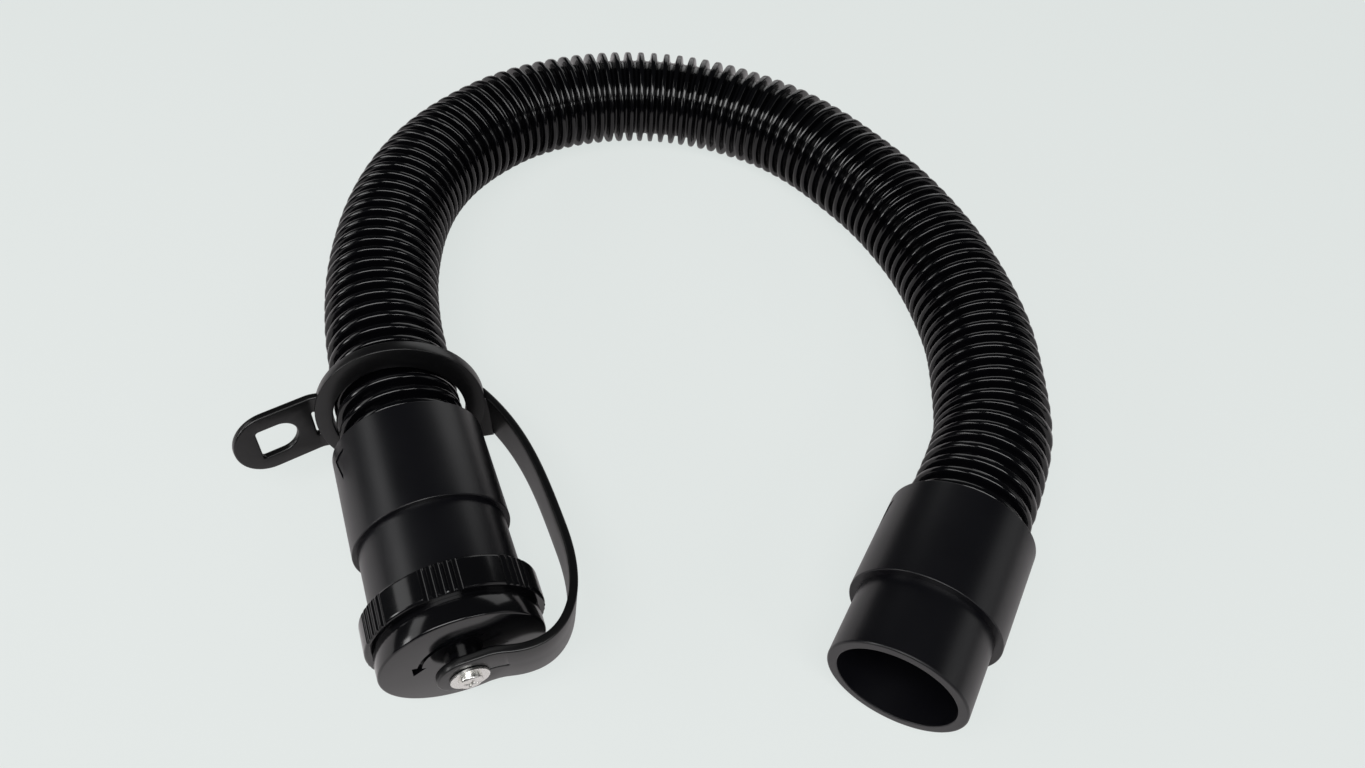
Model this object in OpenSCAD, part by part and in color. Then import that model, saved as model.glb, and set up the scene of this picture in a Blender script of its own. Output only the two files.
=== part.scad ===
// Sewer hose kit: a short crush-proof ribbed hose with a moulded cuff on each end.
// The machine cuff is open.  The drain cuff is shut by a plug cap with a knurled grip
// ring, and a rubber tether (ring, hanging tab and strap) keeps the cap on the hose.
// Millimetres, +Z up, lying on the plane z = 0.
// Each end is built along its own axis: +Z runs from the open end back to the hose,
// +X to the right and +Y down.

/* [Hose] */
// Outer diameter over the ribs
hose_od = 47; // [44:0.5:50]
// Wall of the hose under its grooves
hose_wall = 1.1; // [0.8:0.1:3]
// Distance from one rib to the next
rib_pitch = 6.5; // [5:0.5:10]
// Depth of the grooves between the ribs
rib_depth = 4.4; // [2:0.1:5]
// Length of hose held inside each cuff
hose_insert = 28; // [20:1:30]

/* [Cuffs] */
// Outer diameter of the machine cuff's spigot, at its open end
machine_spigot_od = 49.8; // [48:0.1:52.4]
// Outer diameter of the drain cuff's spigot, which the cap closes
drain_spigot_od = 52; // [48:0.1:52.4]
// Length of the spigot, from the open end to the outer step
spigot_length = 28; // [20:1:40]
// Bore of the spigot
cuff_bore = 42.2; // [40:0.1:43]
// Length of the wider socket, from the outer step to the hose end
socket_length = 42; // [38:1:60]
// Wall of the socket at its hose end
socket_wall = 2.4; // [1.2:0.1:3]
// Extra radius that the socket's draft adds at the step
socket_draft = 0.1; // [0:0.1:1]
// Floor of the socket behind the outer step
socket_floor = 4; // [3:0.5:6]
// Rounding of the cuff's outer edges
cuff_edge = 0.8; // [0.3:0.1:1.2]

/* [Snap windows] */
// Width of the triangular window at its base
window_width = 8; // [5:0.5:12]
// Length of the window along the cuff
window_length = 11; // [7:0.5:14]
// Distance from the cuff's hose end to the window's base
window_setback = 5; // [3:0.5:8]
// Turn of the drain cuff's windows from straight up
drain_window_turn = -60; // [-180:1:180]
// Turn of the machine cuff's windows from straight up
machine_window_turn = -84; // [-180:1:180]
// Gap round each snap tooth in its window
tooth_gap = 0.5; // [0.3:0.1:1]
// How far a snap tooth stays below the cuff's outer surface
tooth_sink = 0.4; // [0.2:0.1:1]

/* [Hose collars] */
// Wall of the collar that grips the hose
collar_wall = 1.4; // [1:0.1:2.5]
// Bore of the collar's nose, in front of the hose
collar_nose_bore = 41; // [38:0.5:42]
// Height of the ridges that lock into the hose's grooves
ridge_height = 1.5; // [0.8:0.1:2]
// Number of locking ridges
ridge_count = 3; // [1:1:4]
// How far the collar's end stays inside the cuff
collar_recess = 1; // [0.5:0.5:3]

/* [Drain cap] */
// How far the back of the cap's skirt stands out from the spigot
cap_lip = 2.2; // [1.5:0.1:4]
// Extra radius that the skirt's draft adds behind the cap's face
cap_draft = 0.4; // [0:0.1:1]
// Distance from the cap's face to the grip ring
cap_height = 9; // [6:0.1:16]
// Width of the groove between the cap's skirt and the grip ring
grip_gap = 1.6; // [0.5:0.1:3]
// Thickness of the cap's end face
cap_wall = 3; // [2:0.2:4]
// Rounding of the cap's front edge
cap_round = 0.8; // [0.5:0.1:2.5]
// How far the grip ring stands out from the skirt
grip_rise = 2; // [1.5:0.1:6]
// Length of the grip ring
grip_height = 11.5; // [8:0.1:16]
// How far the grip ring reaches over the cuff's spigot
grip_overlap = 3; // [0:0.5:4]
// Wall of the neck that carries the grip ring
neck_wall = 1.8; // [1.2:0.1:2.6]
// Groups of flutes round the grip ring
flute_groups = 7; // [4:1:10]
// Turn of the groups from straight up
group_turn = -2; // [-30:0.5:30]
// Flutes in each group
flutes_per_group = 5; // [3:1:6]
// Turn from one flute to the next
flute_turn = 5.1; // [4:0.1:6]
// Radius of the cutter that makes a flute
flute_radius = 1.3; // [0.8:0.1:1.6]
// Depth of a flute
flute_depth = 0.7; // [0.4:0.1:1]

/* [Plug] */
// How far the plug reaches into the cuff's bore
plug_depth = 18; // [12:1:24]
// Wall of the plug
plug_wall = 3.6; // [3.2:0.1:5]
// Thickness of the plug's flange
flange_thick = 2.4; // [1.5:0.1:4]
// Thickness of the seal's round section
seal_section = 3; // [2:0.1:3.6]
// Distance from the plug's inner end to the seal's centre
seal_setback = 5; // [4:0.5:8]

/* [Cap screw] */
// Diameter of the post that the strap's eye turns on
post_od = 8; // [6:0.5:10]
// Diameter of the shoulder behind the eye
shoulder_od = 13; // [10:0.5:16]
// Height of the shoulder in front of the cap's face
shoulder_height = 3.2; // [0.5:0.1:5]
// Diameter of the screw's shank
screw_od = 4; // [3:0.5:5]
// Reach of the screw behind the cap's face
screw_reach = 9; // [6:0.5:11]
// Diameter of the pan head
head_od = 8; // [6:0.5:10]
// Height of the pan head
head_height = 1.8; // [1.5:0.1:4]
// Outer diameter of the washer
washer_od = 13; // [9:0.5:16]
// Thickness of the washer
washer_thick = 0.8; // [0.6:0.1:2]
// Wall of the boss round the screw, inside the cap
boss_wall = 3; // [1.5:0.1:4]

/* [Tether] */
// Width of the tether ring's band, in its own plane
ring_band = 5.6; // [4:0.1:8]
// Thickness of the tether ring
ring_thick = 5; // [3:0.1:6]
// Slack between the hose and the ring's bore
ring_slack = 2.7; // [2.4:0.1:4]
// Distance from the drain cuff's hose end to the ring
ring_standoff = 16; // [10:0.5:30]
// Turn of the ring's plane to the side
ring_turn = 7.5; // [0:0.5:10]
// Lean of the ring's plane towards the hose
ring_lean = 9; // [0:0.5:10]
// Shift of the ring's centre towards the strap
ring_shift = 1; // [0:0.1:1.4]
// Width of the strap
strap_width = 21; // [14:1:24]
// Thickness of the strap
strap_thick = 3; // [2:0.1:4]
// How far the strap bows out from the axis
strap_bow = 43; // [40:0.2:50]
// Distance behind the cap's face where the bow is widest
bow_at = 32.2; // [26:0.2:45]
// Drop of the strap's middle line where it meets the ring
strap_drop = 8; // [0:1:10]
// How far the strap stands out beyond its eye before it turns back
strap_kick = 2; // [0:0.1:4]
// Reach of the strap's root beyond the ring's band
root_reach = 1.5; // [0:0.1:3]
// Length of the slit beside the eye
slit_length = 9; // [5:1:12]
// Width of that slit
slit_width = 0.6; // [0.3:0.1:1]

/* [Hanging tab] */
// Width of the tab
tab_width = 26; // [20:1:30]
// Thickness of the tab
tab_thick = 3; // [2:0.1:4]
// Length of the tab beyond its fold
tab_length = 31; // [26:1:50]
// Bend of the tab at its fold, away from the hose
tab_bend = 22; // [0:1:45]
// Width of the D-shaped hanging hole
hole_width = 13; // [8:0.5:16]
// Length of the hanging hole
hole_length = 14.5; // [10:0.5:16]
// Material left outside the hanging hole
hole_margin = 9; // [6:0.5:12]
// Length of the slot across the tab's fold
slot_length = 11.5; // [6:0.5:16]
// Width of that slot
slot_width = 1; // [0.6:0.1:2]

/* [Layout] */
// Drain axis at the cap's face, across
drain_x = -47.7; // [-80:0.1:-20]
// Drain axis at the cap's face, front to back
drain_y = -48; // [-80:0.1:-20]
// Turn of the drain axis from straight back
drain_yaw = -27.2; // [-30:0.1:-20]
// Machine axis at its open end, across
machine_x = 95.8; // [60:0.1:140]
// Machine axis at its open end, front to back
machine_y = -40.1; // [-80:0.1:-20]
// Turn of the machine axis from straight back
machine_yaw = 23.5; // [20:0.1:30]

/* [Hidden] */
$fn = 96;

// Clearances
hose_fit = 0.3;      // hose in its collar
collar_fit = 0.2;    // collar in its socket
seat_gap = 0.3;      // soft or turning pieces that lie against each other
press_gap = 0.1;     // pressed pieces of the cap, and the screw in its hole
turn_fit = 0.1;      // strap's eye on its post
plug_gap = 0.5;      // plug in the cuff's bore
seal_fit = 0.05;     // seal in the cuff's bore
lie_gap = 0.2;       // tether ring above the plane z = 0
root_gap = 0.1;      // strap's root in front of the ring
rim_gap = 1;         // neck and grip ring round the drain cuff's spigot
groove_gap = 0.05;   // seal in its groove
overcut = 1;         // how far a cutter passes a face

// Radii that follow from the fits
hose_r = hose_od / 2;
groove_r = hose_r - rib_depth;
machine_spigot_r = machine_spigot_od / 2;
spigot_r = drain_spigot_od / 2;
bore_r = cuff_bore / 2;
collar_in = hose_r + hose_fit;
collar_out = collar_in + collar_wall;
socket_in = collar_out + collar_fit;
socket_end_r = socket_in + socket_wall;
socket_r = socket_end_r + socket_draft;
cap_r = spigot_r + cap_lip;
face_r = cap_r - cap_draft;
grip_r = cap_r + grip_rise;
neck_r = spigot_r + rim_gap;
skirt_in = neck_r - neck_wall;
plug_r = bore_r - plug_gap;
plug_in = plug_r - plug_wall;
seal_r = bore_r - seal_fit - seal_section / 2;
post_r = post_od / 2;
screw_r = screw_od / 2;

// Stations along a cuff, from its open end
cuff_length = spigot_length + socket_length;
floor_at = spigot_length + socket_floor;
hose_at = cuff_length - hose_insert;

// Stations along the drain end, from the cap's face
skirt_end = cap_height - grip_gap;
grip_end = cap_height + grip_height;
seat_at = grip_end - grip_overlap;
neck_end = seat_at - flange_thick;
mouth_at = seat_at + seat_gap;
plug_end = mouth_at + plug_depth;
drain_hose_at = mouth_at + hose_at;
ring_at = mouth_at + cuff_length + ring_standoff;
eye_back = -shoulder_height - seat_gap;
eye_front = eye_back - strap_thick;
post_end = eye_front - seat_gap;
eye_mid = (eye_back + eye_front) / 2;
head_at = post_end - washer_thick;
boss_end = screw_reach + boss_wall / 2;

// Heights at which the pieces lie on the plane z = 0
drain_z = grip_r;
machine_z = socket_r;

// Tether ring
ring_in = hose_r + ring_slack;
ring_out = ring_in + ring_band;
ring_lift = ring_out * cos(ring_lean) + ring_thick * sin(ring_lean) + lie_gap - drain_z;
root_x = ring_out + ring_shift + root_reach - strap_thick / 2;

// Hose route: the straight ends follow their cuffs, and each point between them is
// [across, back, rise of the hose's middle line above its height when lying flat]
ROUTE = [
    [-107.5, 71.5, 6.7], [-114.5, 88, 6.2], [-122, 111, 5.4], [-127, 136, 4.3], [-129, 161, 3.2],
    [-127, 186, 2.1], [-120, 210, 1.2], [-108, 232, 0.5], [-92, 251, 0.2], [-71, 266, 0.1],
    [-48, 276, 0.1], [-24, 281, 0.1], [1, 281, 0.1], [25, 276, 0.1], [48, 267, 0.1],
    [69, 253, 0.1], [87, 236, 0.1], [104, 217, 0.1], [118, 196, 0.1], [129, 174, 0.3],
    [137, 150, 0.8], [142, 126, 1.4], [143, 101, 2.2], [142, 75, 3.1], [138, 59, 3.6]];
STRAIGHT = [0, 16, 32, 48];    // points of each straight end, from the hose's end
function heading(yaw) = [sin(yaw), cos(yaw), 0];
function drain_point(s) = [drain_x, drain_y, drain_z] + s * heading(drain_yaw);
function machine_point(s) = [machine_x, machine_y, machine_z] + s * heading(machine_yaw);
hose_points = concat(
    [for (s = STRAIGHT) drain_point(drain_hose_at + s)],
    [for (p = ROUTE) [p.x, p.y, hose_r + p.z]],
    [for (i = [len(STRAIGHT) - 1 : -1 : 0]) machine_point(hose_at + STRAIGHT[i])]);
last = len(hose_points) - 1;

// A smooth curve through the points, cut into short chords
CHORDS = 8;
function blend(a, b, c, d, t) = 0.5 * (2 * b + (c - a) * t
    + (2 * a - 5 * b + 4 * c - d) * t * t + (3 * b - a - 3 * c + d) * t * t * t);
function neighbour(i) = i < 0 ? 2 * hose_points[0] - hose_points[1]
    : i > last ? 2 * hose_points[last] - hose_points[last - 1] : hose_points[i];
chain = concat([for (i = [0 : last - 1]) for (k = [0 : CHORDS - 1])
    blend(neighbour(i - 1), neighbour(i), neighbour(i + 1), neighbour(i + 2), k / CHORDS)],
    [hose_points[last]]);
runs = [for (i = 0, s = 0; i < len(chain);
    s = s + (i + 1 < len(chain) ? norm(chain[i + 1] - chain[i]) : 0), i = i + 1) s];
hose_length = runs[len(runs) - 1];
x_at = [for (i = [0 : len(chain) - 1]) [runs[i], chain[i].x]];
y_at = [for (i = [0 : len(chain) - 1]) [runs[i], chain[i].y]];
z_at = [for (i = [0 : len(chain) - 1]) [runs[i], chain[i].z]];
function along(s) = [lookup(s, x_at), lookup(s, y_at), lookup(s, z_at)];
function direction(s) = let (d = along(min(s + 1, hose_length)) - along(max(s - 1, 0))) d / norm(d);

// Ribs: a crest ring and a groove ring each, and a crest at both ends
SIDES = 8;
rib_count = round(hose_length / rib_pitch);
pitch = hose_length / rib_count;
function ring_points(s, r) = let (t = direction(s), level = cross(t, [0, 0, 1]),
    side = level / norm(level), up = cross(side, t)) [for (k = [0 : SIDES - 1])
    along(s) + r * (sin(k * 360 / SIDES) * side + cos(k * 360 / SIDES) * up)];
echo(hose_length = hose_length, rib_count = rib_count,
    free_length = hose_length - 2 * hose_insert);

// Places a piece on the drain axis or on the machine axis
module on_drain() {
    translate([drain_x, drain_y, drain_z]) rotate([0, 0, -drain_yaw]) rotate([-90, 0, 0]) children();
}

module on_machine() {
    translate([machine_x, machine_y, machine_z]) rotate([0, 0, -machine_yaw]) rotate([-90, 0, 0])
        children();
}

// The tether ring's own plane: its front face, +X to the right and +Y down
module on_ring() {
    translate([ring_shift, -ring_lift, ring_at]) rotate([-ring_lean, ring_turn, 0]) children();
}

// Points of a rounded corner in a profile
function arc(x, y, r, from, to, n) = [for (i = [0 : n]) let (a = from + (to - from) * i / n)
    [x + r * cos(a), y + r * sin(a)]];

// ---- hose ----

BORE_STEP = 3;    // ribs from one ring of the bore to the next
module hose() {
    outer = [for (i = [0 : 2 * rib_count]) ring_points(i * pitch / 2, i % 2 == 0 ? hose_r : groove_r)];
    stations = concat([for (i = [0 : BORE_STEP : rib_count - 1]) i * pitch], [hose_length]);
    inner = [for (s = stations) ring_points(s, groove_r - hose_wall)];
    rings = concat(outer, [for (i = [len(inner) - 1 : -1 : 0]) inner[i]]);
    n = len(rings);
    faces = [for (i = [0 : n - 1]) for (k = [0 : SIDES - 1])
        let (next = (i + 1) % n, a = i * SIDES + k, b = i * SIDES + (k + 1) % SIDES,
            c = next * SIDES + k, d = next * SIDES + (k + 1) % SIDES)
        each [[a, c, b], [b, c, d]]];
    color("#16161a") polyhedron([for (ring = rings) each ring], faces);
}

// ---- cuffs and the collars that hold the hose in them ----

// A triangle on the window side: base towards the hose, point towards the open end
module snap_triangle(gap) {
    base = cuff_length - window_setback - gap;
    tip = cuff_length - window_setback - window_length + 2 * gap;
    half = window_width / 2 - gap;
    polygon([[-half, base], [half, base], [0, tip]]);
}

module snap_pair(turn, gap, from_r, to_r) {
    for (side = [0, 180])
        rotate([0, 0, turn + side]) translate([0, -from_r, 0]) rotate([90, 0, 0])
            linear_extrude(height = to_r - from_r) snap_triangle(gap);
}

module cuff(spigot_r, turn) {
    lip = cuff_edge / 2;
    difference() {
        rotate_extrude() polygon(concat(
            arc(bore_r + lip, lip, lip, 180, 270, 4),
            arc(spigot_r - cuff_edge, cuff_edge, cuff_edge, -90, 0, 4),
            [[spigot_r, spigot_length]],
            arc(socket_r - lip, spigot_length + lip, lip, -90, 0, 4),
            arc(socket_end_r - lip, cuff_length - lip, lip, 0, 90, 4),
            [[socket_in, cuff_length], [socket_in, floor_at], [bore_r, floor_at]]));
        snap_pair(turn, 0, socket_in - overcut, socket_r + overcut);
    }
}

module collar(turn) {
    nose_r = collar_nose_bore / 2;
    half = ridge_height / 2;
    end = cuff_length - collar_recess;
    rotate_extrude() polygon(concat(
        [[nose_r, floor_at], [collar_out, floor_at], [collar_out, end], [collar_in, end]],
        [for (i = [ridge_count - 1 : -1 : 0]) let (s = hose_at + (i + 0.5) * pitch)
            each [[collar_in, s + half], [collar_in - ridge_height, s], [collar_in, s - half]]],
        [[collar_in, hose_at], [nose_r, hose_at]]));
    intersection() {
        snap_pair(turn, tooth_gap, collar_out - collar_wall / 2, socket_r);
        cylinder(r = socket_end_r - tooth_sink, h = cuff_length);
    }
}

module drain_cuff() {
    color("#1b1b1f") on_drain() translate([0, 0, mouth_at]) cuff(spigot_r, drain_window_turn);
}

module drain_collar() {
    color("#2a2a2e") on_drain() translate([0, 0, mouth_at]) collar(drain_window_turn);
}

module machine_cuff() {
    color("#1b1b1f") on_machine() cuff(machine_spigot_r, machine_window_turn);
}

module machine_collar() {
    color("#2a2a2e") on_machine() collar(machine_window_turn);
}

// ---- tether ----

// The tab beyond its fold: +X out to its round end, and back through the ring's band
module tab_outline() {
    end = tab_length - tab_width / 2;
    translate([-ring_out, -tab_width / 2]) square([end + ring_out, tab_width]);
    translate([end, 0]) circle(d = tab_width);
}

module hanging_hole() {
    outboard = tab_length - hole_margin;
    inboard = outboard - hole_length + hole_width / 2;
    translate([inboard, -hole_width / 2]) square([outboard - inboard, hole_width]);
    translate([inboard, 0]) circle(d = hole_width);
}

// The tab from the side: it leaves the ring flat and folds at the ring's edge
module tab_profile() {
    half = tab_thick / 2;
    out = (tab_length + overcut) * [cos(tab_bend), -sin(tab_bend)];
    face = half * [sin(tab_bend), cos(tab_bend)];
    mitre = half / cos(tab_bend / 2) * [sin(tab_bend / 2), cos(tab_bend / 2)];
    polygon([[-ring_out, -half], -mitre, out - face, out + face, mitre, [-ring_out, half]]);
}

module hanging_tab() {
    translate([ring_out, 0, ring_thick / 2]) intersection() {
        rotate([90, 0, 0])
            linear_extrude(height = tab_width + 2 * overcut, center = true) tab_profile();
        rotate([0, tab_bend, 0]) linear_extrude(height = 2 * ring_out, center = true)
            difference() {
                tab_outline();
                hanging_hole();
            }
    }
}

// The slot lies across the fold
module fold_slot() {
    translate([ring_out, 0, ring_thick / 2]) rotate([0, tab_bend / 2, 0])
        cube([slot_width, slot_length, 2 * ring_thick], center = true);
}

// The flat root on the ring that the strap starts from
module strap_root() {
    translate([0, ring_lift + strap_drop - strap_width / 2])
        square([ring_out + root_reach, strap_width]);
}

module tether_ring() {
    color("#202022") on_drain() on_ring() difference() {
        union() {
            linear_extrude(height = ring_thick) {
                circle(r = ring_out);
                strap_root();
            }
            mirror([1, 0, 0]) hanging_tab();
        }
        translate([0, 0, -overcut]) cylinder(r = ring_in, h = ring_thick + 2 * overcut);
        mirror([1, 0, 0]) fold_slot();
    }
}

function bezier(a, b, c, d, n) = [for (i = [1 : n]) let (t = i / n, u = 1 - t)
    u * u * u * a + 3 * u * u * t * b + 3 * u * t * t * c + t * t * t * d];

// The strap's middle line, seen from above: [away from the axis, along the axis].
// It leaves the eye, kicks out, turns back and bows along the cuff to the ring.
eye_side = [post_r + 2, eye_mid];
kick = [strap_width, eye_mid - strap_kick];
bow = [strap_bow, bow_at];
root = [root_x, ring_at];
INTO_RING = [-5, 12];    // the strap's way into the ring, where the ring's front cuts it
BOW_EASE = [0.72, 0.38];    // how long the bow stays along the axis, before and behind its middle
strap_line = concat(
    [[-strap_width, eye_mid], eye_side],
    bezier(eye_side, eye_side + [7, 0], kick - [7, 0], kick, 6),
    bezier(kick, kick + [12, 0], bow - [0, BOW_EASE[0] * (bow.y - kick.y)], bow, 14),
    bezier(bow, bow + [0, BOW_EASE[1] * (root.y - bow.y)], root - 2 * INTO_RING, root, 14),
    [root + INTO_RING]);

function heading_at(line, i) = let (d = line[min(i + 1, len(line) - 1)] - line[max(i - 1, 0)])
    d / norm(d);
function beside(line, gap) = [for (i = [0 : len(line) - 1]) let (h = heading_at(line, i))
    line[i] + gap * [h.y, -h.x]];

// The ribbon, drawn in plan and raised along the local Y axis
module strap_ribbon() {
    far = beside(strap_line, strap_thick / 2);
    near = beside(strap_line, -strap_thick / 2);
    translate([0, 2 * strap_width, 0]) rotate([90, 0, 0]) linear_extrude(height = 4 * strap_width)
        polygon(concat(far, [for (i = [len(near) - 1 : -1 : 0]) near[i]]));
}

// The band that the ribbon keeps: level at the eye and dropping towards the ring
module strap_band() {
    half = strap_width / 2;
    front = -strap_width;
    back = 2 * ring_at;
    fall = 2 * strap_drop;
    translate([2 * strap_bow, 0, 0]) rotate([0, -90, 0]) linear_extrude(height = 3 * strap_bow)
        polygon([[front, -half], [0, -half], [back, fall - half], [back, fall + half], [0, half],
            [front, half]]);
}

// The round end of the eye, seen from the front
module eye_outline() {
    circle(d = strap_width);
    translate([0, -strap_width]) square([2 * strap_bow, 2 * strap_width + strap_drop]);
}

module tether_strap() {
    into = strap_thick + strap_kick + 2 * overcut;
    color("#202022") on_drain() difference() {
        intersection() {
            strap_ribbon();
            strap_band();
            translate([0, 0, -strap_width]) linear_extrude(height = 2 * ring_at) eye_outline();
        }
        translate([0, 0, eye_front - overcut]) cylinder(r = post_r + turn_fit, h = into);
        translate([0, -slit_width / 2, eye_back + overcut - into])
            cube([post_r + slit_length, slit_width, into]);
        on_ring() translate([-strap_bow, -2 * strap_width, -root_gap])
            cube([3 * strap_bow, 4 * strap_width, strap_width]);
    }
}

// ---- drain cap ----

module cap_body() {
    boss_r = screw_r + boss_wall;
    color("#101013") on_drain() difference() {
        rotate_extrude() polygon(concat(
            [[0, post_end], [post_r, post_end], [post_r, -shoulder_height],
                [shoulder_od / 2, -shoulder_height], [shoulder_od / 2, 0]],
            arc(face_r - cap_round, cap_round, cap_round, -90, 0, 6),
            [[cap_r, skirt_end], [neck_r, skirt_end], [neck_r, neck_end], [skirt_in, neck_end],
                [skirt_in, cap_wall], [boss_r, cap_wall], [boss_r, boss_end], [0, boss_end]]));
        translate([0, 0, post_end - overcut])
            cylinder(r = screw_r + press_gap, h = screw_reach - post_end + overcut + press_gap);
    }
}

module flutes() {
    middle = (flutes_per_group - 1) / 2;
    for (group = [0 : flute_groups - 1], i = [0 : flutes_per_group - 1])
        rotate([0, 0, group_turn + group * 360 / flute_groups + (i - middle) * flute_turn])
            translate([0, -grip_r - flute_radius + flute_depth, cap_height - overcut])
                cylinder(r = flute_radius, h = grip_height + 2 * overcut, $fn = 24);
}

module grip_ring() {
    edge = 1;
    color("#101013") on_drain() difference() {
        rotate_extrude() polygon(concat(
            [[neck_r + press_gap, cap_height]],
            arc(grip_r - edge, cap_height + edge, edge, -90, 0, 4),
            arc(grip_r - edge, grip_end - edge, edge, 0, 90, 4),
            [[neck_r + press_gap, grip_end]]));
        flutes();
    }
}

module plug_sleeve() {
    lead = 1;
    seal_at = plug_end - seal_setback;
    groove = seal_section / 2 + groove_gap;
    color("#101013") on_drain() rotate_extrude() polygon([
        [plug_in, neck_end], [neck_r, neck_end], [neck_r, seat_at], [plug_r, seat_at],
        [plug_r, seal_at - groove], [seal_r - groove, seal_at - groove],
        [seal_r - groove, seal_at + groove], [plug_r, seal_at + groove],
        [plug_r, plug_end - lead], [plug_r - lead, plug_end], [plug_in, plug_end]]);
}

module plug_seal() {
    color("#2b2b2b") on_drain() translate([0, 0, plug_end - seal_setback])
        rotate_extrude() translate([seal_r, 0]) circle(d = seal_section, $fn = 32);
}

module cap_washer() {
    color("#c9c9cb") on_drain() translate([0, 0, head_at])
        difference() {
            cylinder(d = washer_od, h = washer_thick);
            translate([0, 0, -overcut])
                cylinder(r = screw_r + press_gap, h = washer_thick + 2 * overcut);
        }
}

module cap_screw() {
    dome = head_height / 2;
    color("#d2d2d4") on_drain() rotate_extrude() polygon(concat(
        [[0, head_at - head_height]],
        arc(head_od / 2 - dome, head_at - head_height + dome, dome, -90, 0, 6),
        [[head_od / 2, head_at], [screw_r, head_at], [screw_r, screw_reach], [0, screw_reach]]));
}

hose();
drain_cuff();
drain_collar();
machine_cuff();
machine_collar();
tether_ring();
tether_strap();
cap_body();
grip_ring();
plug_sleeve();
plug_seal();
cap_washer();
cap_screw();
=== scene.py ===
# %% [markdown]
# # A sewer hose kit, dressed for a picture
#
# Each end sits in a stepped cuff of black plastic. One cuff is open. The other is shut by a
# push-in cap, and a rubber tether keeps that cap on the hose.
#
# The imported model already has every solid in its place, in metres. It loads as a fixed
# frame, and this lesson builds finer pieces and finishes round it.

import math

import bmesh
import bpy
import numpy as np
from mathutils import Matrix, Vector


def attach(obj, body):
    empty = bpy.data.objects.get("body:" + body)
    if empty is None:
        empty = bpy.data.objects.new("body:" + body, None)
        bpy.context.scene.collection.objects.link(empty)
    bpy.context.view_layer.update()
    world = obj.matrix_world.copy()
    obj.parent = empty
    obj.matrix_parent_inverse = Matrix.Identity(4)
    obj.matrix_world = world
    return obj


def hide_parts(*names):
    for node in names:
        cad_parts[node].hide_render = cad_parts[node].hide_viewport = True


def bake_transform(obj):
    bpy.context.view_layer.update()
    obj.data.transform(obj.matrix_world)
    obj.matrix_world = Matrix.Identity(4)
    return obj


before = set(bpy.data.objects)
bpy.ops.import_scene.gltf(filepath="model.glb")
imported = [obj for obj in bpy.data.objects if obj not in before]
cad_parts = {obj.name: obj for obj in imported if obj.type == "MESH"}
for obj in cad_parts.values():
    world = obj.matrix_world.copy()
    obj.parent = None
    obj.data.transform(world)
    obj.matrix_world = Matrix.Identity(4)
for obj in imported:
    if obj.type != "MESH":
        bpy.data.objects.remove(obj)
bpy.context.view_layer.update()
MM = 0.001
print("frame:", sorted(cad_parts))

# %% [markdown]
# ## Where the two ends lie
#
# Every fitting is round, so each is easiest to build about its own axis: z runs from the
# open end back to the hose, x to the right and y down. One matrix for each end then puts a
# finished piece in its place. The numbers repeat the part's own layout, in millimetres.

# %% The two axes
DRAIN = {"at": (-47.7, -48.0, 30.2), "yaw": -27.2}
MACHINE = {"at": (95.8, -40.1, 27.9), "yaw": 23.5}


def placed(end):
    """Millimetres about an end's own axis, to metres in the frame."""
    turn = Matrix.Rotation(math.radians(-end["yaw"]), 4, "Z") @ Matrix.Rotation(
        math.radians(-90), 4, "X"
    )
    return Matrix.Scale(MM, 4) @ Matrix.Translation(end["at"]) @ turn


ON_DRAIN = placed(DRAIN)
ON_MACHINE = placed(MACHINE)
CUFF_LENGTH = 70.0
MOUTH_AT = 17.8  # the drain cuff's mouth, behind the cap's face
HOSE_IN_CUFF = 42.0  # how far behind a cuff's mouth the hose begins

# %% [markdown]
# ## The camera
#
# Its place is written in millimetres and its lens is a wide one.

# %% The camera
CAMERA_AT = Vector((12.6, -162.6, 330.8)) * MM
LOOK_DOWN = math.radians(51.44)
ROLL = math.radians(6.85)
FOCAL_PIXELS = 932.6
FRAME_WIDTH = 1365

camera = bpy.data.objects.new("camera", bpy.data.cameras.new("camera"))
bpy.context.scene.collection.objects.link(camera)
ahead = Vector((0, math.cos(LOOK_DOWN), -math.sin(LOOK_DOWN)))
level = ahead.cross(Vector((0, 0, 1))).normalized()
right = math.cos(ROLL) * level + math.sin(ROLL) * level.cross(ahead)
top = right.cross(ahead)
camera.matrix_world = Matrix.Translation(CAMERA_AT) @ Matrix(
    (right, top, -ahead)
).transposed().to_4x4()
camera.data.sensor_width = 36
camera.data.lens = FOCAL_PIXELS / FRAME_WIDTH * 36
camera.data.clip_start = 0.01
camera.data.clip_end = 50
bpy.context.scene.camera = camera
print("lens", round(camera.data.lens, 2), "mm")

# %% [markdown]
# ## Small helpers
#
# Three things come back all the time: a colour written as a hex value, which a shader needs
# in linear light, a node with its settings and links, and a bmesh that becomes an object.

# %% Helpers


def linear(hex_colour):
    """An sRGB hex value as a linear colour."""
    parts = [int(hex_colour[i : i + 2], 16) / 255 for i in (1, 3, 5)]
    return [p / 12.92 if p <= 0.04045 else ((p + 0.055) / 1.055) ** 2.4 for p in parts] + [1]


def add(tree, kind, settings=(), **links):
    """Adds a node, sets its properties and inputs, and links its inputs."""
    node = tree.nodes.new(kind)
    for name, value in dict(settings).items():
        if hasattr(node, name):
            setattr(node, name, value)
        else:
            node.inputs[int(name[1:]) if name[0] == "#" else name].default_value = value
    for name, source in links.items():
        key = int(name[1:]) if name[0] == "_" else name.replace("_", " ")
        tree.links.new(source, node.inputs[key])
    return node


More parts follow.
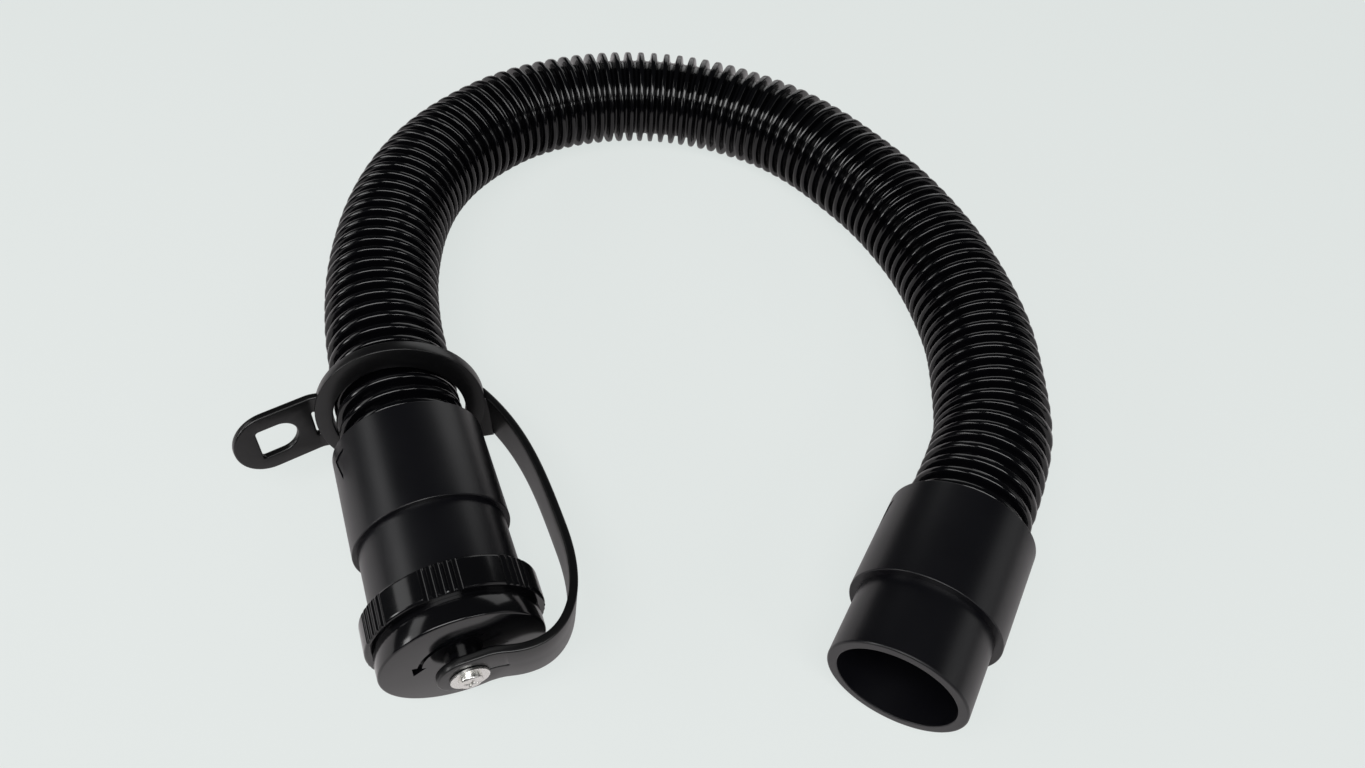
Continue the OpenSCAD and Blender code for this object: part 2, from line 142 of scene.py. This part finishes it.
def finished(bm, name, place, shade=40):
    """The bmesh, in millimetres about an end, becomes an object at the origin."""
    bmesh.ops.transform(bm, matrix=place, verts=bm.verts)
    mesh = bpy.data.meshes.new(name)
    bm.to_mesh(mesh)
    bm.free()
    piece = bpy.data.objects.new(name, mesh)
    bpy.context.scene.collection.objects.link(piece)
    mesh.shade_smooth()
    mesh.set_sharp_from_angle(angle=math.radians(shade))
    print(name, len(mesh.polygons), "faces")
    return piece


def turned(profile, steps=96):
    """A closed profile of (radius, station) pairs is spun into a solid of revolution."""
    bm = bmesh.new()
    verts = [bm.verts.new((r, 0, s)) for r, s in profile]
    edges = [bm.edges.new((a, b)) for a, b in zip(verts, verts[1:] + verts[:1])]
    bmesh.ops.spin(
        bm, geom=verts + edges, axis=(0, 0, 1), cent=(0, 0, 0), angle=2 * math.pi,
        steps=steps, use_merge=True, use_duplicate=False,
    )
    bmesh.ops.remove_doubles(bm, verts=bm.verts, dist=1e-4)
    bmesh.ops.recalc_face_normals(bm, faces=bm.faces)
    return bm


def corner(x, y, r, start, end, n=5):
    """Points of a rounded corner."""
    return [
        (x + r * math.cos(math.radians(a)), y + r * math.sin(math.radians(a)))
        for a in np.linspace(start, end, n)
    ]


# %% [markdown]
# ## The hose
#
# A drain hose of this kind is a thin rubber wall with close rings blown outwards, so that it
# bends without closing up. A straight hose is spun from one long ribbed line first. Then
# each of its points is carried to the same station along the route. That keeps every rib
# square to the hose, also in the tight end of the bend.

# %% The hose's route
HOSE_R = 23.5
GROOVE_R = 19.1
BORE_R = 18.0
RIB_PITCH = 6.5
ROUTE = [
    [-107.5, 71.5, 6.7], [-114.5, 88, 6.2], [-122, 111, 5.4], [-127, 136, 4.3], [-129, 161, 3.2],
    [-127, 186, 2.1], [-120, 210, 1.2], [-108, 232, 0.5], [-92, 251, 0.2], [-71, 266, 0.1],
    [-48, 276, 0.1], [-24, 281, 0.1], [1, 281, 0.1], [25, 276, 0.1], [48, 267, 0.1],
    [69, 253, 0.1], [87, 236, 0.1], [104, 217, 0.1], [118, 196, 0.1], [129, 174, 0.3],
    [137, 150, 0.8], [142, 126, 1.4], [143, 101, 2.2], [142, 75, 3.1], [138, 59, 3.6],
]
STRAIGHT = [0, 16, 32, 48]


def on_axis(end, station):
    yaw = math.radians(end["yaw"])
    return np.array(end["at"]) + station * np.array([math.sin(yaw), math.cos(yaw), 0])


knots = np.array(
    [on_axis(DRAIN, MOUTH_AT + HOSE_IN_CUFF + s) for s in STRAIGHT]
    + [[x, y, HOSE_R + rise] for x, y, rise in ROUTE]
    + [on_axis(MACHINE, HOSE_IN_CUFF + s) for s in reversed(STRAIGHT)]
)
knots = np.vstack([2 * knots[:1] - knots[1:2], knots, 2 * knots[-1:] - knots[-2:-1]])
fine = []
for a, b, c, d in zip(knots, knots[1:], knots[2:], knots[3:]):
    for t in np.arange(0, 1, 1 / 40):
        fine.append(
            0.5 * (2 * b + (c - a) * t + (2 * a - 5 * b + 4 * c - d) * t**2
                   + (3 * b - a - 3 * c + d) * t**3)
        )
route = np.array(fine + [knots[-2]])
stations = np.concatenate([[0], np.cumsum(np.linalg.norm(np.diff(route, axis=0), axis=1))])
HOSE_LENGTH = stations[-1]
RIBS = round(HOSE_LENGTH / RIB_PITCH)
PITCH = HOSE_LENGTH / RIBS
print("hose", round(HOSE_LENGTH, 1), "mm,", RIBS, "ribs")


def along(s):
    return np.array([np.interp(s, stations, route[:, k]) for k in range(3)])


def hose_frame(s):
    """Point, side and up at a station, with the tangent taken over 2 mm."""
    tangent = along(min(s + 1, HOSE_LENGTH)) - along(max(s - 1, 0))
    tangent /= np.linalg.norm(tangent)
    side = np.cross(tangent, [0, 0, 1])
    side /= np.linalg.norm(side)
    return along(s), side, np.cross(side, tangent)


# %% The ribbed hose
# One rib: how far from its middle, in pitches, and how far down from crest to groove
RIB = [(0, 0), (0.1, 0.012), (0.17, 0.06), (0.215, 0.2), (0.245, 0.42), (0.268, 0.66), (0.3, 0.87), (0.4, 1)]


def ribbed_line():
    line = []
    for i in range(RIBS):
        for offset, down in RIB + [(1 - o, d) for o, d in reversed(RIB[1:])]:
            line.append((HOSE_R - down * (HOSE_R - GROOVE_R), (i + offset) * PITCH))
    return line + [(HOSE_R, HOSE_LENGTH)]


outside = ribbed_line()
inside = [(BORE_R, s) for s in np.linspace(HOSE_LENGTH, 0, 2 * RIBS + 1)]
bm = turned(outside + inside, steps=40)
frames = {}
for v in bm.verts:
    s = round(v.co.z, 4)
    if s not in frames:
        frames[s] = hose_frame(s)
    at, side, up = frames[s]
    v.co = Vector(at + v.co.x * side + v.co.y * up)
bmesh.ops.recalc_face_normals(bm, faces=bm.faces)
hose = finished(bm, "drain_hose", Matrix.Scale(MM, 4), shade=60)
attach(hose, "hose_line")
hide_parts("hose")

# %% [markdown]
# ## The tether
#
# One rubber moulding keeps the cap from getting lost. A flat ring hangs on the hose behind
# the drain cuff. A tab with a D-shaped hole leaves it on one side, and a strap on the
# other, which ends in an eye under the cap's screw.
#
# Each flat piece is drawn as an outline, filled, pushed up to its thickness and given round
# edges. The strap is made straight like that and then bent along its own line.

# %% The ring
RING_OUT, RING_THICK = 31.8, 5.0
HOLE_R_RING, HOLE_AT = 24.9, (-0.8, 1.9)
RING_AT = MOUTH_AT + CUFF_LENGTH + 16
RING_SHIFT, RING_LEAN, RING_TURN = 1.0, 9.0, 7.5
TAB_BEND, TAB_THICK, TAB_WIDTH, TAB_LENGTH = 22.0, 3.0, 26.0, 31.0
HOLE_WIDTH, HOLE_LENGTH, HOLE_MARGIN = 13.0, 14.5, 9.0
LIE_GAP = 0.2
lean = math.radians(RING_LEAN)
RING_LIFT = RING_OUT * math.cos(lean) + RING_THICK * math.sin(lean) + LIE_GAP - DRAIN["at"][2]
ON_RING = (
    ON_DRAIN
    @ Matrix.Translation((RING_SHIFT, -RING_LIFT, RING_AT))
    @ Matrix.Rotation(math.radians(RING_TURN), 4, "Y")
    @ Matrix.Rotation(math.radians(-RING_LEAN), 4, "X")
)


def sheet_solid(loops, thick, round_by, z0=0.0):
    """Fills flat loops (outer edge first, then holes), thickens them, rounds the rims."""
    bm = bmesh.new()
    edges = []
    for loop in loops:
        verts = [bm.verts.new((x, y, z0)) for x, y in loop]
        edges += [bm.edges.new((a, b)) for a, b in zip(verts, verts[1:] + verts[:1])]
    bmesh.ops.triangle_fill(bm, edges=edges, use_beauty=True)
    raised = bmesh.ops.extrude_face_region(bm, geom=bm.faces[:], use_keep_orig=True)
    bmesh.ops.translate(
        bm, vec=(0, 0, thick), verts=[g for g in raised["geom"] if isinstance(g, bmesh.types.BMVert)]
    )
    bmesh.ops.recalc_face_normals(bm, faces=bm.faces)
    rims = [
        e for e in bm.edges
        if len(e.link_faces) == 2 and e.calc_face_angle() > math.radians(60)
        and abs(e.verts[0].co.z - e.verts[1].co.z) < 1e-6
    ]
    bmesh.ops.bevel(
        bm, geom=rims, offset=round_by, segments=3, profile=0.5, affect="EDGES", material=-1,
        clamp_overlap=True,
    )
    return bm


def arc_points(x, y, r, start, end, n):
    return corner(x, y, r, start, end, n)


def circle(x, y, r, n=96):
    return corner(x, y, r, 0, 360 - 360 / n, n)


bm = sheet_solid([circle(0, 0, RING_OUT), circle(*HOLE_AT, HOLE_R_RING)], RING_THICK, 0.4)
ring = finished(bm, "tether_loop", ON_RING)
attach(ring, "hose_line")
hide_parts("tether_ring")

# %% The tab
outboard = TAB_LENGTH - HOLE_MARGIN
inboard = outboard - HOLE_LENGTH
tab_edge = (
    [(-5, -TAB_WIDTH / 2)]
    + arc_points(TAB_LENGTH - TAB_WIDTH / 2, 0, TAB_WIDTH / 2, -90, 90, 33)
    + [(-5, TAB_WIDTH / 2)]
)
tab_hole = (
    arc_points(inboard + HOLE_WIDTH / 2, 0, HOLE_WIDTH / 2, 90, 270, 25)
    + arc_points(outboard - 1.2, -HOLE_WIDTH / 2 + 1.2, 1.2, 270, 360, 5)
    + arc_points(outboard - 1.2, HOLE_WIDTH / 2 - 1.2, 1.2, 0, 90, 5)
)
tab_slot = arc_points(0.3, 5.0, 0.8, 0, 180, 7) + arc_points(0.3, -5.0, 0.8, 180, 360, 7)
bm = sheet_solid([tab_edge, tab_hole, tab_slot], TAB_THICK, 0.7, z0=-TAB_THICK / 2)


def sliced(bm, stations):
    """Cuts a flat solid across, so that it can bend smoothly."""
    for x in stations:
        bmesh.ops.bisect_plane(
            bm, geom=bm.verts[:] + bm.edges[:] + bm.faces[:], dist=1e-5,
            plane_co=(x, 0, 0), plane_no=(1, 0, 0),
        )
    return bm


sliced(bm, np.arange(-3, 3.1, 0.75))
FOLD = np.linspace(-6, TAB_LENGTH + 1, 400)
ease = np.clip((FOLD + 2.2) / 4.4, 0, 1)
bend_at = math.radians(TAB_BEND) * ease * ease * (3 - 2 * ease)
step = FOLD[1] - FOLD[0]
fold_x = FOLD[0] + np.concatenate([[0], np.cumsum(np.cos(bend_at[:-1]) * step)])
fold_z = -np.concatenate([[0], np.cumsum(np.sin(bend_at[:-1]) * step)])
for v in bm.verts:
    x, y, z = v.co
    angle = np.interp(x, FOLD, bend_at)
    px, pz = np.interp(x, FOLD, fold_x), np.interp(x, FOLD, fold_z)
    v.co = (-(RING_OUT + px + z * math.sin(angle)), y, RING_THICK / 2 + pz + z * math.cos(angle))
bmesh.ops.recalc_face_normals(bm, faces=bm.faces)
tab = finished(bm, "hanging_tab", ON_RING)
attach(tab, "hose_line")
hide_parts("tether_ring")

# %% The strap's root on the ring
STRAP_WIDTH, STRAP_THICK, STRAP_DROP = 21.0, 3.0, 8.0
ROOT_REACH = 1.5
middle = RING_LIFT + STRAP_DROP
low, high = middle - STRAP_WIDTH / 2, middle + STRAP_WIDTH / 2
root_edge = [(math.sqrt(27.2**2 - y * y), y) for y in np.linspace(low, high, 13)]
root_edge += [(RING_OUT + ROOT_REACH, high), (RING_OUT + ROOT_REACH, low)]
bm = sheet_solid([root_edge], RING_THICK - 0.04, 0.7, z0=0.02)
root = finished(bm, "strap_root", ON_RING)
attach(root, "hose_line")
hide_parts("tether_ring")

# %% [markdown]
# ## The strap
#
# The strap leaves its eye, kicks out, turns back beside the cuff and bows out on its way to
# the ring. Its line is three Bezier curves in plan. It also twists a little at the turn.

# %% The strap's line
EYE_MID = -5.0
eye_side = np.array([6.0, EYE_MID])
kick = np.array([21.0, EYE_MID - 2])
bow = np.array([43.0, 32.2])
root_point = np.array([RING_OUT + RING_SHIFT + ROOT_REACH - STRAP_THICK / 2, RING_AT])
into_ring = np.array([-5.0, 12.0])


def bezier(a, b, c, d, n=60):
    t = np.linspace(0, 1, n + 1)[1:, None]
    u = 1 - t
    return u**3 * a + 3 * u * u * t * b + 3 * u * t * t * c + t**3 * d


line = np.vstack([
    np.linspace([-21, EYE_MID], eye_side, 30),
    bezier(eye_side, eye_side + [7, 0], kick - [7, 0], kick),
    bezier(kick, kick + [12, 0], bow - [0, 0.72 * (bow[1] - kick[1])], bow),
    bezier(bow, bow + [0, 0.38 * (root_point[1] - bow[1])], root_point - 2 * into_ring, root_point),
    root_point + 0.12 * into_ring,
])
line_x = np.concatenate([[0], np.cumsum(np.linalg.norm(np.diff(line, axis=0), axis=1))]) - 21
STRAP_LENGTH = line_x[-1]
print("strap", round(STRAP_LENGTH, 1), "mm from the eye's centre to the ring")

# %% The strap
EYE_HOLE, SLIT_END, SLIT_HALF = 4.1, 13.0, 0.3
half = STRAP_WIDTH / 2
strap_edge = (
    arc_points(0, 0, half, 90, 270, 41) + [(STRAP_LENGTH, -half), (STRAP_LENGTH, half)]
)
gap = math.degrees(math.asin(SLIT_HALF / EYE_HOLE))
eye_loop = arc_points(0, 0, EYE_HOLE, gap, 360 - gap, 41) + [
    (SLIT_END, -SLIT_HALF), (SLIT_END + 0.3, 0), (SLIT_END, SLIT_HALF)
]
bm = sheet_solid([strap_edge, eye_loop], STRAP_THICK, 0.7, z0=-STRAP_THICK / 2)
sliced(bm, np.arange(7, STRAP_LENGTH - 0.5, 1.25))
for v in bm.verts:
    x, y, z = v.co
    p = np.array([np.interp(x, line_x, line[:, k]) for k in (0, 1)])
    q = np.array([np.interp(x + 0.4, line_x, line[:, k]) for k in (0, 1)])
    o = np.array([np.interp(x - 0.4, line_x, line[:, k]) for k in (0, 1)])
    h = (q - o) / np.linalg.norm(q - o)
    turn_share = math.sin(math.pi * min(max((x - 8) / (STRAP_LENGTH - 8), 0), 1)) ** 0.7
    z -= 0.65 * y / half * turn_share
    u, s = p + z * np.array([h[1], -h[0]])
    v.co = (u, y + STRAP_DROP * max(p[1], 0) / RING_AT, s)
bmesh.ops.recalc_face_normals(bm, faces=bm.faces)
strap = finished(bm, "tether_band", ON_DRAIN)
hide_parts("tether_strap")
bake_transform(strap)

# %% [markdown]
# ## The cap
#
# The cap is a gloss moulding: an end face with a rounded edge, a skirt, a post for the
# strap's eye and a boss behind it for the screw. Its face carries a turning arrow, sunk into
# the plastic. The face is filled round the arrow's outline, and the arrow's floor is then
# pushed in, so the groove is real.

# %% The cap's sizes
FACE_R, CAP_R, CAP_ROUND = 27.8, 28.2, 0.8
SKIRT_END, SKIRT_IN, NECK_R, NECK_END = 7.4, 25.2, 27.0, 15.1
CAP_WALL, BOSS_R, BOSS_END = 3.0, 5.0, 10.5
POST_R, POST_END, SHOULDER_R, SHOULDER = 4.0, -6.8, 6.5, -3.2
HOLE_R, HOLE_END = 2.1, 9.1

# %% The turning arrow's outline
ARROW_R, ARROW_HALF, ARROW_DEEP = 14.6, 0.75, 1.3


def dial(radius, angle):
    """A point on the cap's face, by its angle from straight up."""
    a = math.radians(angle)
    return radius * math.sin(a), -radius * math.cos(a)


outer_side = [dial(ARROW_R + ARROW_HALF, a) for a in np.linspace(30, -76, 33)]
inner_side = [dial(ARROW_R - ARROW_HALF, a) for a in np.linspace(-80, 30, 33)]
head = [dial(ARROW_R + 2.6, -76), dial(ARROW_R + 2.4, -95), dial(ARROW_R - 2.2, -82)]
arrow = outer_side + head + inner_side

# %% The cap body
STEPS = 96
ring_angles = np.linspace(0, 2 * math.pi, STEPS, endpoint=False)
side = (
    corner(FACE_R - CAP_ROUND, CAP_ROUND, CAP_ROUND, 270, 360, 7)
    + [(CAP_R - 0.25, SKIRT_END - 0.25), (CAP_R - 0.4, SKIRT_END), (NECK_R, SKIRT_END),
       (NECK_R, NECK_END), (SKIRT_IN, NECK_END), (SKIRT_IN, CAP_WALL), (BOSS_R, CAP_WALL),
       (BOSS_R, BOSS_END), (0.01, BOSS_END), (0.01, HOLE_END), (HOLE_R, HOLE_END),
       (HOLE_R, POST_END), (POST_R - 0.3, POST_END), (POST_R, POST_END + 0.3),
       (POST_R, SHOULDER), (SHOULDER_R - 0.4, SHOULDER), (SHOULDER_R, SHOULDER + 0.4),
       (SHOULDER_R, 0)]
)
bm = bmesh.new()
verts = [bm.verts.new((r, 0, s)) for r, s in side]
edges = [bm.edges.new(pair) for pair in zip(verts, verts[1:])]
bmesh.ops.spin(bm, geom=verts + edges, axis=(0, 0, 1), cent=(0, 0, 0), angle=2 * math.pi,
               steps=STEPS, use_merge=True, use_duplicate=False)
face_edges = []
for loop in (
    [((FACE_R - CAP_ROUND) * math.cos(a), (FACE_R - CAP_ROUND) * math.sin(a)) for a in ring_angles],
    [(SHOULDER_R * math.cos(a), SHOULDER_R * math.sin(a)) for a in ring_angles],
    arrow,
):
    verts = [bm.verts.new((x, y, 0)) for x, y in loop]
    face_edges += [bm.edges.new(pair) for pair in zip(verts, verts[1:] + verts[:1])]
arrow_edges = face_edges[-len(arrow):]
bmesh.ops.triangle_fill(bm, edges=face_edges, use_beauty=True)
sunk = bmesh.ops.extrude_edge_only(bm, edges=arrow_edges)["geom"]
floor_verts = [g for g in sunk if isinstance(g, bmesh.types.BMVert)]
floor_edges = [g for g in sunk if isinstance(g, bmesh.types.BMEdge)]
bmesh.ops.translate(bm, vec=(0, 0, ARROW_DEEP), verts=floor_verts)
bmesh.ops.triangle_fill(bm, edges=floor_edges, use_beauty=True)
bmesh.ops.remove_doubles(bm, verts=bm.verts, dist=0.02)
bmesh.ops.recalc_face_normals(bm, faces=bm.faces)
cap = finished(bm, "cap_moulding", ON_DRAIN, shade=35)
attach(cap, "drain_cap")
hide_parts("cap_body")

# %% [markdown]
# ## The screw
#
# A plated pan-head screw holds the eye on its post. The head is spun, and a cross-shaped
# cutter then takes the recess out of it.

# %% The screw
HEAD_AT, HEAD_R, HEAD_HIGH, SCREW_R, SCREW_END = -7.6, 4.0, 1.8, 2.0, 9.0
bm = turned(
    [(0.01, HEAD_AT - HEAD_HIGH), (1.8, HEAD_AT - HEAD_HIGH)]
    + corner(HEAD_R - 1.1, HEAD_AT - HEAD_HIGH + 1.1, 1.1, 285, 360, 7)
    + [(HEAD_R, HEAD_AT), (SCREW_R, HEAD_AT), (SCREW_R, SCREW_END - 1), (SCREW_R - 0.8, SCREW_END),
       (0.01, SCREW_END)],
    steps=64,
)
bmesh.ops.remove_doubles(bm, verts=bm.verts, dist=0.02)
screw = finished(bm, "pan_head_screw", Matrix.Identity(4), shade=35)
bm = bmesh.new()
for quarter in (0, 90):
    made = bmesh.ops.create_cube(bm, size=1)["verts"]
    bmesh.ops.scale(bm, vec=(4.6, 0.95, 2.4), verts=made)
    bmesh.ops.translate(bm, vec=(0, 0, HEAD_AT - HEAD_HIGH), verts=made)
    bmesh.ops.rotate(bm, matrix=Matrix.Rotation(math.radians(quarter + 20), 3, "Z"), verts=made)
cutter = finished(bm, "recess_cutter", Matrix.Identity(4))
cut = screw.modifiers.new("recess", "BOOLEAN")
cut.object, cut.operation, cut.solver = cutter, "DIFFERENCE", "EXACT"
cut.use_self = True
bpy.context.view_layer.update()
recessed = bpy.data.meshes.new_from_object(
    screw.evaluated_get(bpy.context.evaluated_depsgraph_get())
)
screw.modifiers.clear()
screw.data = recessed
screw.data.transform(ON_DRAIN)
bpy.data.objects.remove(cutter)
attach(screw, "drain_cap")
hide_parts("cap_screw")

# %% [markdown]
# ## The finishes
#
# Nearly everything is black, so the finishes differ in their gloss and grain. A black
# plastic still shows its moulding: a fine grain in its roughness, slow swells in its wall
# and a slightly uneven gloss where it cooled.

# %% Moulded black plastics and rubber


def moulded(name, colour, rough, rough_swing, grain_mm, grain_deep_mm, swell_mm=18, swell_deep_mm=0.05,
            ior=1.5):
    """A moulded surface: fine grain, slow swells and uneven gloss."""
    material = bpy.data.materials.new(name)
    material.use_nodes = True
    tree = material.node_tree
    shader = tree.nodes["Principled BSDF"]
    shader.inputs["IOR"].default_value = ior
    place = add(tree, "ShaderNodeTexCoord").outputs["Object"]
    swell = add(tree, "ShaderNodeTexNoise", {"Scale": 1000 / swell_mm, "Detail": 2}, Vector=place)
    grain = add(tree, "ShaderNodeTexNoise", {"Scale": 1000 / grain_mm, "Detail": 3}, Vector=place)
    tone = add(tree, "ShaderNodeMix", {"data_type": "RGBA", "#6": linear(colour),
                                       "#7": [min(1, c * 1.35) for c in linear(colour)[:3]] + [1]},
               _0=swell.outputs["Fac"])
    gloss = add(tree, "ShaderNodeMapRange", {"To Min": rough - rough_swing, "To Max": rough + rough_swing},
                Value=swell.outputs["Fac"])
    swells = add(tree, "ShaderNodeBump", {"Strength": 1, "Distance": swell_deep_mm * MM},
                 Height=swell.outputs["Fac"])
    grains = add(tree, "ShaderNodeBump", {"Strength": 1, "Distance": grain_deep_mm * MM},
                 Height=grain.outputs["Fac"], Normal=swells.outputs["Normal"])
    tree.links.new(tone.outputs[2], shader.inputs["Base Color"])
    tree.links.new(gloss.outputs[0], shader.inputs["Roughness"])
    tree.links.new(grains.outputs["Normal"], shader.inputs["Normal"])
    return material


# PVC-and-rubber hose skin: blown smooth, so it shines in thin lines on each rib
hose_rubber = moulded("blown_rubber_hose", "#060608", 0.12, 0.03, 1.2, 0.001, swell_mm=25,
                       swell_deep_mm=0.02)
# Polypropylene cuff: satin from the mould's fine spark grain
cuff_plastic = moulded("moulded_polypropylene", "#08080c", 0.33, 0.04, 0.6, 0.003)
# ABS cap: glossier, from a polished mould
cap_plastic = moulded("polished_abs", "#09090b", 0.14, 0.03, 0.8, 0.002, swell_mm=14)
# Thermoplastic rubber tether: soft and nearly matt
tether_rubber = moulded("soft_tpe_rubber", "#0b0b0c", 0.3, 0.04, 0.8, 0.004)
# Nitrile seal, matt
seal_rubber = moulded("nitrile_seal", "#141414", 0.5, 0.05, 0.8, 0.01)

# %% Bright plated steel


def plated_steel(name):
    """Zinc-plated steel: a metal with a fine speckled grain and a slightly uneven shine."""
    material = bpy.data.materials.new(name)
    material.use_nodes = True
    tree = material.node_tree
    shader = tree.nodes["Principled BSDF"]
    shader.inputs["Metallic"].default_value = 1
    shader.inputs["Base Color"].default_value = linear("#efeeea")
    place = add(tree, "ShaderNodeTexCoord").outputs["Object"]
    speck = add(tree, "ShaderNodeTexNoise", {"Scale": 1000 / 0.9, "Detail": 4}, Vector=place)
    gloss = add(tree, "ShaderNodeMapRange", {"To Min": 0.2, "To Max": 0.36}, Value=speck.outputs["Fac"])
    bump = add(tree, "ShaderNodeBump", {"Strength": 1, "Distance": 0.01 * MM}, Height=speck.outputs["Fac"])
    tree.links.new(gloss.outputs[0], shader.inputs["Roughness"])
    tree.links.new(bump.outputs["Normal"], shader.inputs["Normal"])
    return material


screw_steel = plated_steel("zinc_plated_steel")

# %% Dressing the pieces
for piece, material in (
    (hose, hose_rubber), (ring, tether_rubber), (tab, tether_rubber), (root, tether_rubber),
    (strap, tether_rubber), (cap, cap_plastic), (screw, screw_steel),
):
    piece.data.materials.clear()
    piece.data.materials.append(material)
NODE_FINISH = {
    "drain_cuff": cuff_plastic, "drain_collar": cuff_plastic, "machine_cuff": cuff_plastic,
    "machine_collar": cuff_plastic, "grip_ring": cap_plastic, "plug_sleeve": cap_plastic,
    "plug_seal": seal_rubber, "cap_washer": screw_steel,
}
for name, material in NODE_FINISH.items():
    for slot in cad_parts[name].material_slots:
        slot.material = material

# %% [markdown]
# ## The studio
#
# A plain pale floor runs out to the horizon under soft light. Black plastic shows only what
# it mirrors, so large soft boxes stand where the real highlights lie: one on each side and
# one behind. The floor and the sky are pale to the camera, and dim to everything else.

# %% The studio
PALE, BOUNCED = "#e2e8e6", "#e6e2e3"
bm = bmesh.new()
bmesh.ops.create_grid(bm, x_segments=1, y_segments=1, size=4)
bmesh.ops.translate(bm, vec=(0, 0, -0.0002), verts=bm.verts)
floor = finished(bm, "floor", Matrix.Identity(4))
floor_paint = bpy.data.materials.new("pale_floor")
floor_paint.use_nodes = True
tree = floor_paint.node_tree
paint = tree.nodes["Principled BSDF"]
paint.inputs["Base Color"].default_value = linear(BOUNCED)
paint.inputs["Roughness"].default_value = 0.8
rays = add(tree, "ShaderNodeLightPath")
tint = add(tree, "ShaderNodeMix", {"data_type": "RGBA", "#6": linear(BOUNCED), "#7": linear(PALE)},
           _0=rays.outputs["Is Camera Ray"])
glow = add(tree, "ShaderNodeEmission", {"Strength": 1.04}, Color=tint.outputs[2])
seen = add(tree, "ShaderNodeMath", {"operation": "MAXIMUM"}, _0=rays.outputs["Is Camera Ray"],
           _1=rays.outputs["Is Glossy Ray"])
share = add(tree, "ShaderNodeMapRange", {"To Min": 0.2, "To Max": 0.85}, Value=rays.outputs["Is Camera Ray"])
share = add(tree, "ShaderNodeMath", {"operation": "MULTIPLY"}, _0=seen.outputs[0], _1=share.outputs[0])
blend = add(tree, "ShaderNodeMixShader", {}, _0=share.outputs[0], _1=paint.outputs[0], _2=glow.outputs[0])
tree.links.new(blend.outputs[0], tree.nodes["Material Output"].inputs["Surface"])
floor.data.materials.append(floor_paint)

world = bpy.data.worlds.new("studio")
bpy.context.scene.world = world
world.use_nodes = True
tree = world.node_tree
sky = tree.nodes["Background"]
sky.inputs["Color"].default_value = linear(PALE)
rays = add(tree, "ShaderNodeLightPath")
strength = add(tree, "ShaderNodeMapRange", {"To Min": 0.035, "To Max": 1.0}, Value=rays.outputs["Is Camera Ray"])
tree.links.new(strength.outputs[0], sky.inputs["Strength"])


def soft_box(name, at, aim, size, watts):
    lamp = bpy.data.objects.new(name, bpy.data.lights.new(name, "AREA"))
    lamp.data.shape = "RECTANGLE"
    lamp.data.size, lamp.data.size_y = size
    lamp.data.energy = watts
    lamp.location = at
    lamp.rotation_euler = (Vector(aim) - Vector(at)).to_track_quat("-Z", "Y").to_euler()
    bpy.context.scene.collection.objects.link(lamp)


soft_box("front_box", (-0.1, -0.45, 1.0), (0, 0.1, 0), (1.1, 0.42), 8.5)
soft_box("front_left_box", (-1.0, -0.45, 0.5), (-0.1, 0.1, 0), (0.8, 0.2), 2.5)
soft_box("front_right_box", (0.75, -0.6, 0.7), (0.1, 0.1, 0), (0.35, 0.2), 1.4)
soft_box("left_box", (-1.3, 0.0, 0.8), (0, 0.1, 0), (1.2, 0.45), 2.4)
soft_box("right_box", (1.3, 0.0, 0.5), (0, 0.1, 0), (1.2, 0.6), 1.2)
soft_box("back_wall", (0.2, 1.35, 0.4), (0.15, 0.2, 0.1), (1.1, 0.7), 2.5)

bpy.context.scene.view_settings.view_transform = "Standard"
